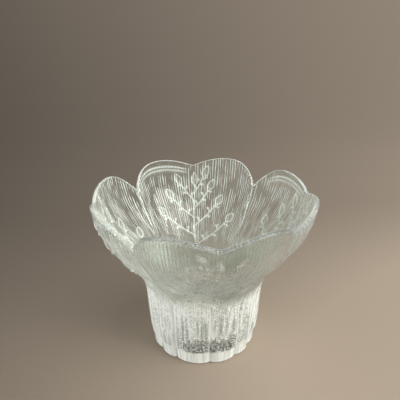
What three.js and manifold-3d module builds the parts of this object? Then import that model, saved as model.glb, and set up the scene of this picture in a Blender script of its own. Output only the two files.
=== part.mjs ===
// Pressed-glass candle holder shaped like a four-petalled flower, with the tealight that stands in its foot.
// Millimetres, +Z up. The origin is the centre of the ring that the foot stands on.

import Module from "manifold-3d";
import * as THREE from "three";
import { mergeVertices } from "three/addons/utils/BufferGeometryUtils.js";

// Glass, outside
const HEIGHT = 115; // to the top of the petals' lobes
const RIM_RADIUS = 74.8; // at the top of the lobes
const NECK_RADIUS = 41.4; // where the foot turns into the bowl
const NECK_HEIGHT = 42;
const BASE_RADIUS = 38;
const BASE_EDGE = 2; // rounding of the foot's lower edge
const NECK_SLOPE = 0.04; // outward run for each millimetre of rise, at the neck
const RIM_SLOPE = 0.1; // the same at the rim
const FOOT_FULLNESS = 0.66; // how far the foot's curve follows the neck's slope, as a share of its height
const NECK_FULLNESS = 0.41; // the same for the bowl's curve, from the neck up
const RIM_FULLNESS = 0.55; // and from the rim down

// Glass, inside
const FLOOR_THICKNESS = 9; // solid glass under the well
const WELL_RADIUS = 30.5; // at the well's floor
const WELL_FILLET = 3;
const NECK_WALL = 7;
const RIM_WALL = 3;
const RIM_CROWN = 1.4; // height of the rounded edge of the rim

// Underside
const STAND_RING_RADIUS = 30; // inside of the ring that the foot stands on
const RECESS_DEPTH = 1.2;

// Petals: two lobes each, with a heart's notch between them and a gap between neighbours
const PETALS = 4;
const LOBE_PLACE = 0.5; // lobe's top, as a share of the way from the petal's centre line to the gap
const NOTCH_DEPTH = 6.5;
const GAP_DEPTH = 17.5;
const GAP_SHARPNESS = 2.5; // the higher, the later the rim falls away from a lobe to the gap
const CREASE_DEPTH = 5.5; // how far the glass is drawn in at the gaps
const CREASE_WIDTH = 0.36; // share of the half petal that the crease takes up
const CREASE_START = 0.1; // places on the bowl's curve where the crease starts and is at its deepest
const CREASE_FULL = 0.8;

// Flutes round the foot, with irregular widths that repeat under each petal
const FLUTE_STEPS = [8, 6, 10]; // widths in steps of the mesh
const FLUTE_DEPTH = 2.2;
const FLUTE_FADE = 0.3; // share of the bowl's curve over which the flutes run out

// A branch cast in relief on the outside of each petal, laid out across the petal and up it from the neck
const STEM_START = 3;
const STEM_TOP_GAP = 15; // how much shorter the stem is than the rise from its start to the lobes' top
const STEM_SWAY = 1.6;
const STEM_SWAY_STEP = 14; // run of the stem for each radian of its sway
const TWIGS = 7; // to the left and the right in turn
const FIRST_TWIG = 9;
const LAST_TWIG_GAP = 5.8; // from the last twig up to the stem's top
const TWIG_LENGTH = 33; // of the lowest twig
const TWIG_SHORTENING = 3; // from each twig to the next
const TWIG_LEAN = 66; // of the lowest twig, in degrees from upright
const TWIG_STRAIGHTENING = 4.6; // from each twig to the next, in degrees
const TWIG_CURL = 0.35; // share of its lean that a twig loses on the way to its leaf
const LEAF_LENGTH = 11;
const LEAF_WIDTH = 4.8;
const LEAF_HEIGHT = 1.2;
const LEAF_FULLNESS = 0.8; // below 1 the leaf is widest under its middle
const STALK_RADIUS = 0.7; // of the stem and the twigs

// Tealight
const CUP_RADIUS = 19; // outside, under the rolled rim
const CUP_DRAFT = 0.8; // how much smaller the cup is at its foot
const CUP_HEIGHT = 16;
const CUP_WALL = 0.4;
const CUP_EDGE = 1; // rounding at the foot of the cup
const CUP_ROLL = 0.7; // how far the rolled rim stands out
const DIMPLE_RADIUS = 12; // hollow under the cup
const DIMPLE_DEPTH = 0.6;
const WAX_HEIGHT = 13;
const WAX_EDGE = 0.8; // chamfer of the wax's upper edge
const WICK_RADIUS = 0.9;
const WICK_ABOVE_WAX = 7.5;
const WICK_LEAN = 2.2; // sideways reach of the wick's bent tip
const SUSTAINER_RADIUS = 7; // disc that keeps the wick upright
const SUSTAINER_THICKNESS = 0.4;
const COLLAR_WALL = 0.7;
const COLLAR_HEIGHT = 4;
const CLEARANCE = 0.3; // between the tealight's pieces

// Mesh
const FOOT_ROWS = 4;
const BOWL_ROWS = 9;
const CROWN_ROWS = 3; // points between the rim's two edges
const WELL_ROWS = 3;
const ROUND_SIDES = 40; // the cup and the wax
const SMALL_SIDES = 24; // the sustainer
const STALK_SIDES = 4;
const STEM_STEPS = 6;
const TWIG_STEPS = 3;
const LEAF_SIDES = 6;
const LEAF_PLACES = [0, 0.25, 0.6, 1];
const WICK_SIDES = 8;
const WICK_STEPS = 12;
const HALVINGS = 40; // of the interval in which a place on the bowl's curve is searched
const MERGE_DISTANCE = 1e-4;

const wasm = await Module();
wasm.setup();

const STEPS_PER_PETAL = FLUTE_STEPS.reduce((sum, steps) => sum + steps, 0);
const GLASS_SIDES = PETALS * STEPS_PER_PETAL;

const glassMaterial = new THREE.MeshStandardMaterial({ color: 0xd3d6c8, roughness: 0.15, metalness: 0 });
const aluminium = new THREE.MeshStandardMaterial({ color: 0xc9cacb, roughness: 0.3, metalness: 1 });
const waxMaterial = new THREE.MeshStandardMaterial({ color: 0xf1ece0, roughness: 0.55, metalness: 0 });
const cotton = new THREE.MeshStandardMaterial({ color: 0xe8e2d2, roughness: 0.9, metalness: 0 });
const tinplate = new THREE.MeshStandardMaterial({ color: 0xb4b5b6, roughness: 0.35, metalness: 1 });

// Outside of the foot and the bowl, as curves of radius against height

const footCurve = new THREE.QuadraticBezierCurve(
  new THREE.Vector2(BASE_RADIUS, BASE_EDGE),
  new THREE.Vector2(
    NECK_RADIUS - NECK_SLOPE * FOOT_FULLNESS * (NECK_HEIGHT - BASE_EDGE),
    NECK_HEIGHT - FOOT_FULLNESS * (NECK_HEIGHT - BASE_EDGE),
  ),
  new THREE.Vector2(NECK_RADIUS, NECK_HEIGHT),
);

const rimLean = Math.atan(RIM_SLOPE);
const rimHeight = HEIGHT - RIM_CROWN * Math.cos(rimLean) - (RIM_WALL / 2) * Math.sin(rimLean);
const bowlHeight = rimHeight - NECK_HEIGHT;
const bowlCurve = new THREE.CubicBezierCurve(
  new THREE.Vector2(NECK_RADIUS, NECK_HEIGHT),
  new THREE.Vector2(
    NECK_RADIUS + NECK_SLOPE * NECK_FULLNESS * bowlHeight,
    NECK_HEIGHT + NECK_FULLNESS * bowlHeight,
  ),
  new THREE.Vector2(
    RIM_RADIUS - RIM_SLOPE * RIM_FULLNESS * bowlHeight,
    rimHeight - RIM_FULLNESS * bowlHeight,
  ),
  new THREE.Vector2(RIM_RADIUS, rimHeight),
);

// Place on the bowl's curve, from 0 at the neck to 1 at the rim, that lies at a given height.
function bowlPlaceAt(height) {
  let low = 0;
  let high = 1;
  for (let step = 0; step < HALVINGS; step += 1) {
    const middle = (low + high) / 2;
    if (bowlCurve.getPoint(middle).y < height) {
      low = middle;
    } else {
      high = middle;
    }
  }
  return (low + high) / 2;
}

// Distance from a petal's centre line, from 0 on the line to 1 at the gap.
function petalPlace(column) {
  const steps = column % STEPS_PER_PETAL;
  return Math.min(steps, STEPS_PER_PETAL - steps) / (STEPS_PER_PETAL / 2);
}

// How far the rim lies below the top of the lobes.
function rimDrop(place) {
  if (place < LOBE_PLACE) {
    return NOTCH_DEPTH * (1 - Math.sin((Math.PI * place) / (2 * LOBE_PLACE)));
  }
  return GAP_DEPTH * ((place - LOBE_PLACE) / (1 - LOBE_PLACE)) ** GAP_SHARPNESS;
}

// How far the glass is drawn in by the crease between two petals, growing from the neck to the rim.
function crease(place, bowlPlace) {
  const nearness = Math.max(0, 1 - (1 - place) / CREASE_WIDTH);
  return CREASE_DEPTH * nearness ** 2 * THREE.MathUtils.smoothstep(bowlPlace, CREASE_START, CREASE_FULL);
}

// How far the outside is drawn in between the crests of two flutes.
function flute(column) {
  let steps = column % STEPS_PER_PETAL;
  let index = 0;
  while (steps >= FLUTE_STEPS[index]) {
    steps -= FLUTE_STEPS[index];
    index += 1;
  }
  const across = (2 * steps) / FLUTE_STEPS[index] - 1;
  return FLUTE_DEPTH * (1 - Math.sqrt(1 - across * across));
}

// Points on the outside and the inside of the bowl, square across the wall.
function bowlWall(bowlPlace, place, fluteDepth) {
  const outer = bowlCurve.getPoint(bowlPlace);
  const along = bowlCurve.getTangent(bowlPlace);
  const wall = THREE.MathUtils.lerp(NECK_WALL, RIM_WALL, bowlPlace);
  const inner = new THREE.Vector2(outer.x - along.y * wall, outer.y + along.x * wall);
  const drawnIn = crease(place, bowlPlace);
  inner.x -= drawnIn;
  outer.x -= drawnIn + fluteDepth * (1 - THREE.MathUtils.smoothstep(bowlPlace, 0, FLUTE_FADE));
  return { outer, inner, along };
}

// The glass's section at one column of its mesh, from the underside's centre to the well floor's centre.
function glassSection(column) {
  const place = petalPlace(column);
  const fluteDepth = flute(column);
  const rimPlace = bowlPlaceAt(rimHeight - rimDrop(place));
  const points = [
    new THREE.Vector2(0, RECESS_DEPTH),
    new THREE.Vector2(STAND_RING_RADIUS - RECESS_DEPTH, RECESS_DEPTH),
    new THREE.Vector2(STAND_RING_RADIUS, 0),
  ];

  for (const turn of [0, Math.PI / 4]) {
    points.push(new THREE.Vector2(
      BASE_RADIUS - fluteDepth - BASE_EDGE * (1 - Math.sin(turn)),
      BASE_EDGE * (1 - Math.cos(turn)),
    ));
  }
  for (let row = 0; row < FOOT_ROWS; row += 1) {
    const point = footCurve.getPoint(row / FOOT_ROWS);
    points.push(new THREE.Vector2(point.x - fluteDepth, point.y));
  }

  const walls = [];
  for (let row = 0; row <= BOWL_ROWS; row += 1) {
    walls.push(bowlWall((rimPlace * row) / BOWL_ROWS, place, fluteDepth));
  }
  walls.forEach((wall) => points.push(wall.outer));
  const rim = walls[BOWL_ROWS];
  for (let row = 1; row <= CROWN_ROWS; row += 1) {
    const turn = (Math.PI * row) / (CROWN_ROWS + 1);
    const point = new THREE.Vector2().lerpVectors(rim.outer, rim.inner, (1 - Math.cos(turn)) / 2);
    points.push(point.addScaledVector(rim.along, RIM_CROWN * Math.sin(turn)));
  }
  walls.reverse().forEach((wall) => points.push(wall.inner));

  const neck = points[points.length - 1];
  const wellFoot = new THREE.Vector2(WELL_RADIUS, FLOOR_THICKNESS + WELL_FILLET);
  for (let row = 1; row <= WELL_ROWS; row += 1) {
    points.push(new THREE.Vector2().lerpVectors(neck, wellFoot, row / WELL_ROWS));
  }
  for (const turn of [Math.PI / 4, Math.PI / 2]) {
    points.push(new THREE.Vector2(
      WELL_RADIUS - WELL_FILLET * (1 - Math.cos(turn)),
      FLOOR_THICKNESS + WELL_FILLET * (1 - Math.sin(turn)),
    ));
  }
  points.push(new THREE.Vector2(0, FLOOR_THICKNESS));
  return points;
}

// A lathe whose section changes on the way round.
function glassGeometry() {
  const geometry = new THREE.LatheGeometry(glassSection(0), GLASS_SIDES);
  const position = geometry.attributes.position;
  const rows = position.count / (GLASS_SIDES + 1);
  for (let column = 0; column <= GLASS_SIDES; column += 1) {
    const angle = (2 * Math.PI * (column % GLASS_SIDES)) / GLASS_SIDES;
    glassSection(column).forEach((point, row) => {
      position.setXYZ(column * rows + row, point.x * Math.sin(angle), point.y, point.x * Math.cos(angle));
    });
  }
  geometry.computeVertexNormals();
  return geometry.rotateX(Math.PI / 2);
}

// The branch in relief

const stemLength = HEIGHT - NECK_HEIGHT - STEM_START - STEM_TOP_GAP;
const twigSpacing = (STEM_START + stemLength - LAST_TWIG_GAP - FIRST_TWIG) / (TWIGS - 1);
const stemBend = (up) => new THREE.Vector2(STEM_SWAY * Math.sin(up / STEM_SWAY_STEP), up);

// Point that stands a little off a petal's outside, at a distance from its centre line and up from the neck.
function petalPoint(place, rise = 0) {
  const bowlPlace = bowlCurve.getUtoTmapping(place.y / bowlCurve.getLength());
  const angle = place.x / bowlCurve.getPoint(bowlPlace).x;
  const column = ((angle / (2 * Math.PI)) * GLASS_SIDES + GLASS_SIDES) % GLASS_SIDES;
  const { outer, along } = bowlWall(bowlPlace, petalPlace(column), flute(column));
  const radius = outer.x + along.y * rise;
  return new THREE.Vector3(radius * Math.sin(angle), -radius * Math.cos(angle), outer.y - along.x * rise);
}

// Twigs bend evenly from their lean at the stem towards upright.
function twigAt(index) {
  const side = index % 2 === 0 ? -1 : 1;
  const lean = side * THREE.MathUtils.degToRad(TWIG_LEAN - TWIG_STRAIGHTENING * index);
  const length = TWIG_LENGTH - TWIG_SHORTENING * index;
  const foot = stemBend(FIRST_TWIG + twigSpacing * index);
  const bendRadius = length / (TWIG_CURL * lean);
  const point = (share) => {
    const turn = lean * (1 - TWIG_CURL * share);
    return new THREE.Vector2(
      foot.x + bendRadius * (Math.cos(turn) - Math.cos(lean)),
      foot.y + bendRadius * (Math.sin(lean) - Math.sin(turn)),
    );
  };
  return { point, endLean: lean * (1 - TWIG_CURL) };
}

function polygon(radius, sides) {
  const shape = new THREE.Shape();
  shape.absarc(0, 0, radius, 0, 2 * Math.PI, false);
  return new THREE.Shape(shape.getSpacedPoints(sides).slice(0, sides));
}

function stalkGeometry(point, steps) {
  const places = Array.from({ length: steps + 1 }, (_, step) => petalPoint(point(step / steps)));
  const extrudePath = new THREE.CatmullRomCurve3(places);
  return new THREE.ExtrudeGeometry(polygon(STALK_RADIUS, STALK_SIDES), { steps, extrudePath });
}

// A flattened spindle, laid along the petal.
function leafGeometry(base, lean) {
  const direction = new THREE.Vector2(Math.sin(lean), Math.cos(lean));
  const at = (share) => base.clone().addScaledVector(direction, LEAF_LENGTH * share);
  const foot = petalPoint(base);
  const axis = petalPoint(at(1)).sub(foot);
  const length = axis.length();
  axis.normalize();
  const outward = petalPoint(at(0.5), 1).sub(petalPoint(at(0.5)));
  const aside = new THREE.Vector3().crossVectors(axis, outward).normalize();
  const raised = new THREE.Vector3().crossVectors(aside, axis);
  const profile = LEAF_PLACES.map((place) => new THREE.Vector2(
    place === 1 ? 0 : (LEAF_WIDTH / 2) * Math.sin(Math.PI * place ** LEAF_FULLNESS),
    length * place,
  ));
  return new THREE.LatheGeometry(profile, LEAF_SIDES)
    .scale(1, 1, (2 * LEAF_HEIGHT) / LEAF_WIDTH)
    .applyMatrix4(new THREE.Matrix4().makeBasis(aside, axis, raised).setPosition(foot));
}

function branchGeometries() {
  const stem = (share) => stemBend(STEM_START + stemLength * share);
  const pieces = [stalkGeometry(stem, STEM_STEPS), leafGeometry(stem(1), 0)];
  for (let index = 0; index < TWIGS; index += 1) {
    const twig = twigAt(index);
    pieces.push(stalkGeometry(twig.point, TWIG_STEPS), leafGeometry(twig.point(1), twig.endLean));
  }
  return pieces;
}

// Closed solid of a geometry, with its shared vertices merged and its empty triangles left out.
function toSolid(geometry) {
  const bare = geometry.clone();
  bare.deleteAttribute("normal");
  bare.deleteAttribute("uv");
  const merged = mergeVertices(bare, MERGE_DISTANCE);
  const corners = merged.index.array;
  const triVerts = [];
  for (let start = 0; start < corners.length; start += 3) {
    const [a, b, c] = corners.slice(start, start + 3);
    if (a !== b && b !== c && c !== a) {
      triVerts.push(a, b, c);
    }
  }
  const vertProperties = merged.attributes.position.array;
  const mesh = new wasm.Mesh({ numProp: 3, vertProperties, triVerts: new Uint32Array(triVerts) });
  return new wasm.Manifold(mesh);
}

function toGeometry(solid) {
  const { vertProperties, triVerts } = solid.getMesh();
  const geometry = new THREE.BufferGeometry();
  geometry.setAttribute("position", new THREE.BufferAttribute(vertProperties, 3));
  geometry.setIndex(new THREE.BufferAttribute(triVerts, 1));
  geometry.computeVertexNormals();
  return geometry;
}

// The glass with a branch on each petal.
function holderGeometry() {
  let holder = toSolid(glassGeometry());
  for (let petal = 0; petal < PETALS; petal += 1) {
    for (const piece of branchGeometries()) {
      holder = holder.add(toSolid(piece.rotateZ((2 * Math.PI * petal) / PETALS)));
    }
  }
  return toGeometry(holder);
}

function lathe(points, sides) {
  const profile = points.map(([radius, height]) => new THREE.Vector2(radius, height));
  return new THREE.LatheGeometry(profile, sides).rotateX(Math.PI / 2);
}

// Tealight, in its own heights from the foot of its cup
const cupFloor = DIMPLE_DEPTH + CUP_WALL;
const waxTop = cupFloor + WAX_HEIGHT;
const boreRadius = WICK_RADIUS + CLEARANCE;
const collarRadius = boreRadius + COLLAR_WALL;

function cupGeometry() {
  const footRadius = CUP_RADIUS - CUP_DRAFT;
  const rollTop = CUP_HEIGHT - CUP_ROLL;
  return lathe([
    [0, DIMPLE_DEPTH],
    [DIMPLE_RADIUS - DIMPLE_DEPTH, DIMPLE_DEPTH],
    [DIMPLE_RADIUS, 0],
    [footRadius - CUP_EDGE, 0],
    [footRadius, CUP_EDGE],
    [CUP_RADIUS, rollTop - CUP_ROLL],
    [CUP_RADIUS + CUP_ROLL, rollTop],
    [CUP_RADIUS + CUP_ROLL / 2, CUP_HEIGHT],
    [CUP_RADIUS - CUP_WALL, CUP_HEIGHT],
    [CUP_RADIUS - CUP_WALL, rollTop - CUP_ROLL],
    [footRadius - CUP_WALL, CUP_EDGE + cupFloor],
    [footRadius - CUP_WALL - CUP_EDGE, cupFloor],
    [0, cupFloor],
  ], ROUND_SIDES);
}

// Radius of the cup's inside at a height on its straight wall.
function cupInside(height) {
  const low = CUP_EDGE + cupFloor;
  const high = CUP_HEIGHT - 2 * CUP_ROLL;
  const share = (height - low) / (high - low);
  return CUP_RADIUS - CUP_WALL - CUP_DRAFT * (1 - share);
}

function waxGeometry() {
  const collarTop = cupFloor + COLLAR_HEIGHT + CLEARANCE;
  const discTop = cupFloor + SUSTAINER_THICKNESS + CLEARANCE;
  const wallFoot = cupFloor + CUP_EDGE;
  return lathe([
    [boreRadius, collarTop],
    [collarRadius + CLEARANCE, collarTop],
    [collarRadius + CLEARANCE, discTop],
    [SUSTAINER_RADIUS + CLEARANCE, discTop],
    [SUSTAINER_RADIUS + CLEARANCE, cupFloor],
    [cupInside(wallFoot) - CUP_EDGE - CLEARANCE, cupFloor],
    [cupInside(wallFoot) - CLEARANCE, wallFoot],
    [cupInside(waxTop - WAX_EDGE) - CLEARANCE, waxTop - WAX_EDGE],
    [cupInside(waxTop) - CLEARANCE - WAX_EDGE, waxTop],
    [boreRadius, waxTop],
    [boreRadius, collarTop],
  ], ROUND_SIDES);
}

function sustainerGeometry() {
  return lathe([
    [boreRadius, cupFloor],
    [SUSTAINER_RADIUS, cupFloor],
    [SUSTAINER_RADIUS, cupFloor + SUSTAINER_THICKNESS],
    [collarRadius, cupFloor + SUSTAINER_THICKNESS],
    [collarRadius, cupFloor + COLLAR_HEIGHT],
    [boreRadius, cupFloor + COLLAR_HEIGHT],
    [boreRadius, cupFloor],
  ], SMALL_SIDES);
}

// Straight up through the wax, then bent over a little at the tip.
function wickGeometry() {
  const route = new THREE.CurvePath();
  const foot = new THREE.Vector3(0, 0, cupFloor);
  const bend = new THREE.Vector3(0, 0, waxTop + WICK_ABOVE_WAX / 3);
  const knee = new THREE.Vector3(0, 0, waxTop + (2 * WICK_ABOVE_WAX) / 3);
  const tip = new THREE.Vector3(WICK_LEAN, 0, waxTop + WICK_ABOVE_WAX);
  route.add(new THREE.LineCurve3(foot, bend));
  route.add(new THREE.QuadraticBezierCurve3(bend, knee, tip));
  const section = new THREE.Shape();
  for (let side = 0; side < WICK_SIDES; side += 1) {
    const angle = (2 * Math.PI * side) / WICK_SIDES;
    const point = [WICK_RADIUS * Math.cos(angle), WICK_RADIUS * Math.sin(angle)];
    if (side === 0) {
      section.moveTo(...point);
    } else {
      section.lineTo(...point);
    }
  }
  section.closePath();
  return new THREE.ExtrudeGeometry(section, { steps: WICK_STEPS, extrudePath: route });
}

function named(name, geometry, material) {
  const mesh = new THREE.Mesh(geometry, material);
  mesh.name = name;
  return mesh;
}

const tealight = new THREE.Group();
tealight.position.z = FLOOR_THICKNESS;
tealight.add(named("tealight_cup", cupGeometry(), aluminium));
tealight.add(named("wax", waxGeometry(), waxMaterial));
tealight.add(named("wick_sustainer", sustainerGeometry(), tinplate));
tealight.add(named("wick", wickGeometry(), cotton));

const candleHolder = new THREE.Group();
candleHolder.add(named("glass_holder", holderGeometry(), glassMaterial));
candleHolder.add(tealight);

export default candleHolder;
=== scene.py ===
"""Looks of the flower-shaped glass candle holder and its tealight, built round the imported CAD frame."""

import math
from types import SimpleNamespace

import bpy
import numpy as np
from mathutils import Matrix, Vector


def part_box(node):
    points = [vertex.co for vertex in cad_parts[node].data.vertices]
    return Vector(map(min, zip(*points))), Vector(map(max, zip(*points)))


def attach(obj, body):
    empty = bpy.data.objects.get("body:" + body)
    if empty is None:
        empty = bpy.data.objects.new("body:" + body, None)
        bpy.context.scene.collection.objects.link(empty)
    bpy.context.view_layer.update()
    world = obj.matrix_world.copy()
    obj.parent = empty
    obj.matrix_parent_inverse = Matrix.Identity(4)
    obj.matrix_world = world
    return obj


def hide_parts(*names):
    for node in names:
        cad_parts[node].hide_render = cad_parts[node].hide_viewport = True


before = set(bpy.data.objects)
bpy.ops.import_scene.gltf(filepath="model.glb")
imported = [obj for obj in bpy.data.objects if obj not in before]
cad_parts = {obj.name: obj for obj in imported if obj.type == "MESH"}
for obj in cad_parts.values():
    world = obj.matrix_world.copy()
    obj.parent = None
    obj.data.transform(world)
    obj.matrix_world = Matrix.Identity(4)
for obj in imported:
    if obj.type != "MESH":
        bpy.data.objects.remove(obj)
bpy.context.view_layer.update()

MM = 0.001
SEED = 7

# Glass, in millimetres: the CAD model's driving sizes
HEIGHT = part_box("glass_holder")[1].z / MM
FLOOR_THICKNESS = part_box("tealight_cup")[0].z / MM
RIM_RADIUS = 74.8
NECK_RADIUS = 41.4
NECK_HEIGHT = 42.0
BASE_RADIUS = 38.0
BASE_EDGE = 2.0
NECK_SLOPE = 0.04
RIM_SLOPE = 0.1
FOOT_FULLNESS = 0.66
NECK_FULLNESS = 0.41
RIM_FULLNESS = 0.55
WELL_RADIUS = 30.5
WELL_FILLET = 3.0
NECK_WALL = 7.0
RIM_WALL = 3.0
RIM_CROWN = 1.4
CROWN_TOP = 0.72  # share of the rim's width, from outside, where its edge is highest
STAND_RING_RADIUS = 30.0
RECESS_DEPTH = 1.2
PETALS = 4
LOBE_PLACE = 0.5
NOTCH_DEPTH = 6.5
GAP_DEPTH = 17.5
GAP_SHARPNESS = 2.5
CREASE_DEPTH = 5.5
CREASE_WIDTH = 0.36
CREASE_START = 0.1
CREASE_FULL = 0.8
FLUTE_SHARES = (8, 6, 10)
FLUTE_DEPTH = 2.2
FLUTE_FADE = 0.3

# Glass, the outer side's ribs and base band
PETAL_RIBS = 192
PETAL_RIB_LENGTH = 20.0
PETAL_RIB_HEIGHT = 0.3
PETAL_RIB_WAVER = 5.0
PETAL_RIB_LEAST = 0.15  # the ribs' amplitude where they fade
PETAL_RIB_SWELL = 0.35  # what it gains where they don't
FOOT_RIBS = 116
FOOT_RIB_LENGTH = 16.0
FOOT_RIB_HEIGHT = 0.8
FOOT_RIB_COARSENESS = 0.65  # share of the coarse ribs, with finer ones over them
FOOT_FADE = (NECK_HEIGHT - 2, NECK_HEIGHT + 26)  # heights between which the foot's finish runs out
RIM_BAND = (0.93, 0.965)  # shares of the way to the rim between which the relief runs out
BASE_BAND = 10.5
BASE_LEDGE = 0.4
BASE_RELIEF = 0.05  # share of the ribs' height that is left on the base band
LEDGE_STEP = 0.6
LEDGE_WAVE = 1.6
LEDGE_CELLS = 40

# Glass, the branch in relief on each petal, laid out across the petal and up it from the neck
STEM_START = 3.0
STEM_LENGTH = 55.0
STEM_SWAY = 1.6
STEM_SWAY_STEP = 14.0
STEM_POINTS = 24
TWIGS = 7
FIRST_TWIG = 9.0
TWIG_SPACING = 7.2
TWIG_LENGTH = 33.0
TWIG_SHORTENING = 3.0
TWIG_LEAN = 66.0
TWIG_STRAIGHTENING = 4.6
TWIG_CURL = 0.35
TWIG_POINTS = 10
LEAF_LENGTH = 11.0
LEAF_WIDTH = 4.8
LEAF_HEIGHT = 1.3
LEAF_FULLNESS = 0.8
STALK_RADIUS = 0.7
STALK_FLAT = 0.15  # share of a stalk's radius that is flat on top, before it rounds off
STALK_GLINT_SHARE = 0.3  # share that is painted white all over, as a glint
BRANCH_FADE = (2.0, 16.0)
BEAD_STALK = 3.4
BEAD_PLACES = ((2, -0.9), (4, 0.75), (6, -1.0), (8, 0.8))  # points of a twig, and turns of the bead's stalk
BEAD_RADIUS = 1.3
BEAD_HEIGHT = 1.9

# Glass, how textured, white and grainy its outer side is at heights up the wall, from 0 to 1
TEXTURE = ((0.0, 0.0), (BASE_BAND - 0.5, 0.0), (BASE_BAND + 1, 1.0))
FROST = ((0.0, 1.0), (9.5, 1.0), (11.5, 0.45), (27.0, 0.45), (48.0, 0.58), (62.0, 0.15))
GRAIN = ((0.0, 0.1), (9.5, 0.1), (11.5, 1.0), (19.0, 1.0), (25.0, 0.15), (48.0, 0.3), (70.0, 0.05))

# Glass, the satin outer side of the front petal, also less white as painted shade, from cosines of the
# angle to the front and heights
SATIN_SPAN = (0.3, 0.7)
SATIN_START = (NECK_HEIGHT + 4, NECK_HEIGHT + 20)
SATIN_PAINTED_SHADE = 0.62
SATIN_SMOOTHING = 0.85
SATIN_FLATTENING = 0.5
SATIN_GRAIN = 0.75

# Glass, the neck at the back, clearer as painted shade, the foot's sides, whiter as painted light, and its
# stippled front and back, clearer low down as painted shade
BACK_SPAN = (0.62, 0.85)
NECK_CLEAR_FROM = (NECK_HEIGHT - 12, NECK_HEIGHT - 4)
NECK_CLEAR_TO = (NECK_HEIGHT + 8, NECK_HEIGHT + 22)
NECK_PAINTED_SHADE = 0.85
SIDE_PAINTED_LIGHT = 0.55
STIPPLE_TOP = (19.0, 25.0)
STIPPLE_SPAN = (0.2, 0.8)
STIPPLE_PAINTED_SHADE = 0.65

# Glass, the painted highlight lines inside the rim of one lobe of each petal, and the clearer glass round
# them
LINED_LOBE_START = (0.06, 0.16)
LINED_LOBE_END = (0.7, 0.9)
RIM_LINE_PLACES = (0.933, 0.96)
RIM_LINE_WIDTH = (0.002, 0.0105)
RIM_CLEAR_SPAN = (0.86, 0.92)
RIM_CLEARING = 0.85

# Glass, its painted highlights: how white its lines of glints are, and the patches in which those on the
# foot come and go
SPRIG_PAINTED_GLINT = 0.9
LEAF_PAINTED_GLINT = 0.1
LEDGE_PAINTED_GLINT = 0.9
VALLEY_PAINTED_GLINT = 0.7
RIM_PAINTED_GLINT = 0.8
CROWN_PAINTED_HIGHLIGHT = 0.4
CROWN_HIGHLIGHT_CELLS = 30
PATCH_CELLS = 90
PATCH_LENGTH = 14.0
VALLEY_SPAN = (0.8, 1.0)
VALLEY_PATCHES = (0.2, 0.7)
LEDGE_LINE_RISE = 0.3
LEDGE_LINE_WIDTH = (0.2, 0.9)
LEDGE_PATCHES = (0.3, 0.6)

# Glass, the surface attributes that its material reads, the last of them painted glints, and their values
# where they don't change
SURFACE = ("texture", "frost", "grain", "white")
CROWN_SURFACE = 0.3, 0.08, 0.0, 0.0
CROWN_HIGHLIGHT_SPAN = (0.6, 0.9)
UNDERSIDE_SURFACE = 0.8, 0.2, 1.0, 0.0
CLEAR_SURFACE = 0.0, 0.0, 0.0, 0.0

# Glass, the material: counts round the axis, and lengths and heights in mm
GLASS_TINT = (0.91, 0.95, 0.9)
GLASS_IOR = 1.5
GLASS_BUMP = 0.35
PETAL_FINISH = (46.0, 66.0)  # heights between which the foot's streaks turn into the petals' ribs
STREAKS = 190
STREAK_LENGTH = 20.0
STREAK_NOISE = (0.36, 0.66)
STREAK_WHITE = (0.5, 1.65)
FINE_RIBS = 220
FINE_RIB_LENGTH = 16.0
FINE_RIB_WAVER = 6.0
FINE_RIB_HEIGHT = 0.6
FINE_RIB_THINNESS = 5.0
FINE_RIB_PATCHES = 100
FINE_RIB_PATCH_LENGTH = 11.0
FINE_RIB_NOISE = (0.38, 0.62)
FINE_RIB_WHITE = (0.5, 11.0)
GRAIN_SCALE = 800.0  # cells to the metre
GRAIN_SMOOTHING = 0.3  # share of the ribs' height that is left under grains
GRAIN_NOISE = (0.45, 0.59)
GRAIN_WHITE = (0.15, 2.9)
WAVE_SCALE = 90.0
BASE_NOISE = (0.4, 0.6)
BASE_WHITE = (0.75, 1.05)
CLEAR_ROUGHNESS = 0.03
FOOT_ROUGHNESS = 0.25
PETAL_ROUGHNESS = (0.1, 0.22)  # from clear to grainy
CLEAR_SHADE = 0.95  # share of a lamp's light that one side of the glass lets through
FOOT_SHADE = 0.03
PETAL_SHADE = 0.5

# Glass, the mesh
FINE_COLUMNS = 768
COARSE_STEP = 4
EDGE_ROWS = 4
FOOT_PLACES = (*np.linspace(0, 0.16, 4), *np.linspace(0.18, 0.3, 9), *np.linspace(0.34, 0.96, 12))
FOOT_ROWS = len(FOOT_PLACES)
BOWL_ROWS = 80
CROWN_SHARES = (0.05, 0.18, 0.36, 0.56, 0.72, 0.86, 0.96)
INNER_ROWS = 28
WELL_ROWS = 8
FILLET_ROWS = 4
CURVE_SAMPLES = 800
NOISE_REACH = 1.6  # heights of the holder that the noise's rows cover, with some to spare
NOISE_SPARE_ROWS = 3

# Tealight, in millimetres
CUP_RADIUS = 19.0
CUP_DRAFT = 0.8
CUP_HEIGHT = 16.0
CUP_WALL = 0.4
CUP_EDGE = 1.0
CUP_EDGE_POINTS = 5
CUP_ROLL = 0.7
CUP_ROLL_TURN = 0.9  # half turns that the rolled rim makes past its outer side
CUP_ROLL_POINTS = 13
CUP_FLUTES = 60
CUP_FLUTE_DEPTH = 0.25
CUP_FLUTE_SHARPNESS = 0.4
CUP_SIDE_ROWS = 12
CUP_COLUMNS = 360
DIMPLE_RADIUS = 12.0
DIMPLE_DEPTH = 0.6
WAX_HEIGHT = 13.0
WAX_COLUMNS = 96
WAX_ROWS = 26
WAX_MENISCUS = 0.7
WAX_CLIMB = 1.1  # about how far from the cup's wall the wax climbs
WICK_CLIMB = 0.7  # and from the wick
WICK_CLIMB_SHARE = 0.8
WAX_SWELL = 0.18
WAX_SWELL_CELLS = 9
WICK_HOLE_DEPTH = 3.0
WICK_RADIUS = 0.9
WICK_ABOVE_WAX = 7.5
WICK_LEAN = 2.2
WICK_STRANDS = 3
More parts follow.
